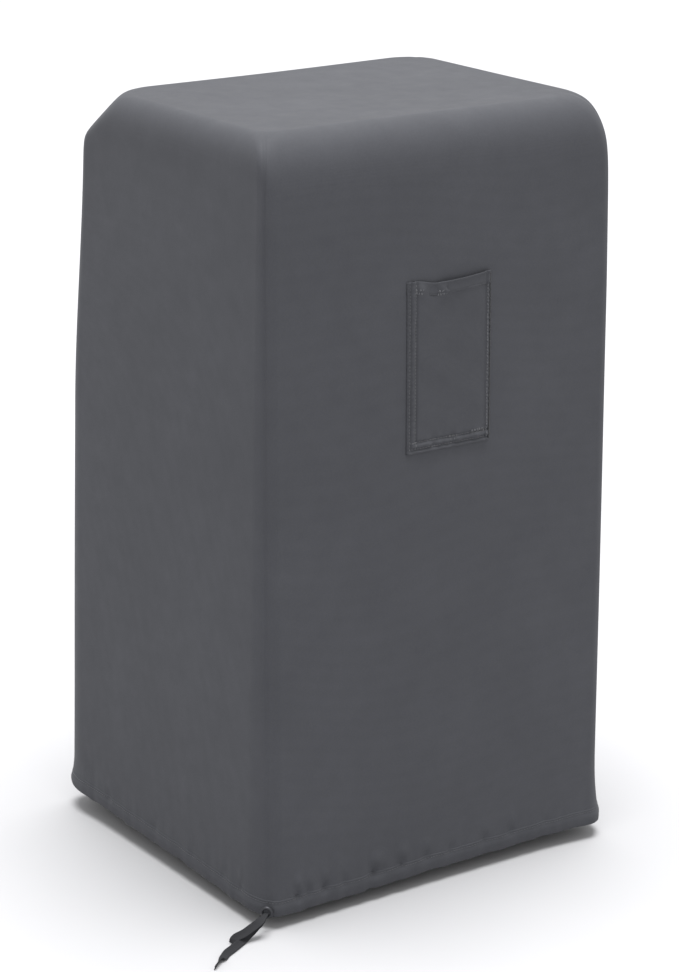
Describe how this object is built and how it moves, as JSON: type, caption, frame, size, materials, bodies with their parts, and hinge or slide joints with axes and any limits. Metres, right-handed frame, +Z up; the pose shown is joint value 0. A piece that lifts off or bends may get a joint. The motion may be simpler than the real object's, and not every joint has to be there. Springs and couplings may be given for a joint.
{
  "type": "electric cabinet smoker with fabric cover",
  "caption": "Upright electric smoker cabinet with insulated door, wire racks, push-button controls and a top damper, standing under a fitted grey fabric cover with a pocket and a drawcord hem.",
  "frame": {"origin": "on the floor, under the middle of the smoker's footprint", "axes": "+Z up, -Y towards the door and the pocket, -X towards the door's hinges"},
  "size_m": [0.5656, 0.4643, 0.858],
  "materials": {
    "cover_fabric": "coated woven polyester, matt",
    "cover_trim": "doubled hem and pocket fabric",
    "ribbon": "flat woven ribbon",
    "eyelet_metal": "dark lacquered",
    "powder_coat": "fine-textured powder coat",
    "stainless": "brushed",
    "zinc": "zinc plated",
    "chrome_wire": "bright plated",
    "enamel": "speckled enamel",
    "element_sheath": "dark oxidised",
    "mineral_wool": "pressed mineral wool",
    "black_plastic": "fine grain",
    "white_plastic": "smooth",
    "button_plastic": "satin",
    "board": "solder resist",
    "display_glass": "tinted",
    "foot_rubber": "matt",
    "gasket_rubber": "matt silicone"
  },
  "bodies": {
    "cabinet": {"side_panel_left": "powder_coat", "side_panel_right": "powder_coat", "top_panel": "powder_coat", "back_panel": "powder_coat", "base_pan": "powder_coat", "front_frame": "powder_coat", "chamber_liner": "stainless", "insulation": "mineral_wool", "rack_support_left": "chrome_wire", "rack_support_right": "chrome_wire", "rack_1": "chrome_wire", "rack_2": "chrome_wire", "rack_3": "chrome_wire", "rack_4": "chrome_wire", "water_pan": "enamel", "chip_tray": "enamel", "chip_box": "stainless", "drip_pan": "stainless", "heating_element": "element_sheath", "temperature_probe": "stainless", "control_housing": "black_plastic", "control_board": "board", "display_window": "display_glass", "vent_collar": "stainless", "hinge_bracket_upper": "zinc", "hinge_bracket_lower": "zinc", "catch_magnet": "zinc", "leg_front_left": "powder_coat", "leg_front_right": "powder_coat", "leg_back_left": "powder_coat", "leg_back_right": "powder_coat", "foot_front_left": "foot_rubber", "foot_front_right": "foot_rubber", "foot_back_left": "foot_rubber", "foot_back_right": "foot_rubber", "cord_gland": "black_plastic", "panel_screws": "zinc"},
    "door": {"door_skin": "powder_coat", "door_liner": "stainless", "door_insulation": "mineral_wool", "door_gasket": "gasket_rubber", "door_handle": "stainless", "door_bushes": "white_plastic"},
    "damper": {"vent_damper": "powder_coat"},
    "button_power": {"button_power": "button_plastic"},
    "button_set": {"button_set": "button_plastic"},
    "button_minus": {"button_minus": "button_plastic"},
    "button_plus": {"button_plus": "button_plastic"},
    "cover": {"cover_top_panel": "cover_fabric", "cover_front_panel": "cover_fabric", "cover_back_panel": "cover_fabric", "cover_left_panel": "cover_fabric", "cover_right_panel": "cover_fabric", "cover_hem_casing": "cover_trim", "cover_pocket": "cover_trim", "cover_eyelet": "eyelet_metal", "drawcord_loop": "ribbon", "drawcord_tail_short": "ribbon", "drawcord_tail_long": "ribbon"}
  },
  "joints": [
    {"name": "door_swing", "type": "hinge", "parent": "cabinet", "child": "door", "pos_m": [-0.207, -0.15, 0], "axis": [0, 0, -1], "range_deg": [0, 125], "deforming": ["cover_front_panel", "cover_back_panel", "cover_left_panel", "cover_right_panel", "cover_hem_casing", "cover_pocket", "drawcord_loop", "drawcord_tail_short", "drawcord_tail_long"]},
    {"name": "damper_turn", "type": "hinge", "parent": "cabinet", "child": "damper", "pos_m": [0.12, 0.08, 0.8445], "axis": [0, 0, 1], "range_deg": [0, 90]},
    {"name": "press_power", "type": "slide", "parent": "cabinet", "child": "button_power", "axis": [0, 1, 0], "range_m": [0, 0.0012], "stiffness_N_per_m": 600},
    {"name": "press_set", "type": "slide", "parent": "cabinet", "child": "button_set", "axis": [0, 1, 0], "range_m": [0, 0.0012], "stiffness_N_per_m": 600},
    {"name": "press_minus", "type": "slide", "parent": "cabinet", "child": "button_minus", "axis": [0, 1, 0], "range_m": [0, 0.0012], "stiffness_N_per_m": 600},
    {"name": "press_plus", "type": "slide", "parent": "cabinet", "child": "button_plus", "axis": [0, 1, 0], "range_m": [0, 0.0012], "stiffness_N_per_m": 600},
    {"name": "cover_lift", "type": "slide", "parent": "cabinet", "child": "cover", "axis": [0, 0, 1], "range_m": [0, 0.88]}
  ]
}
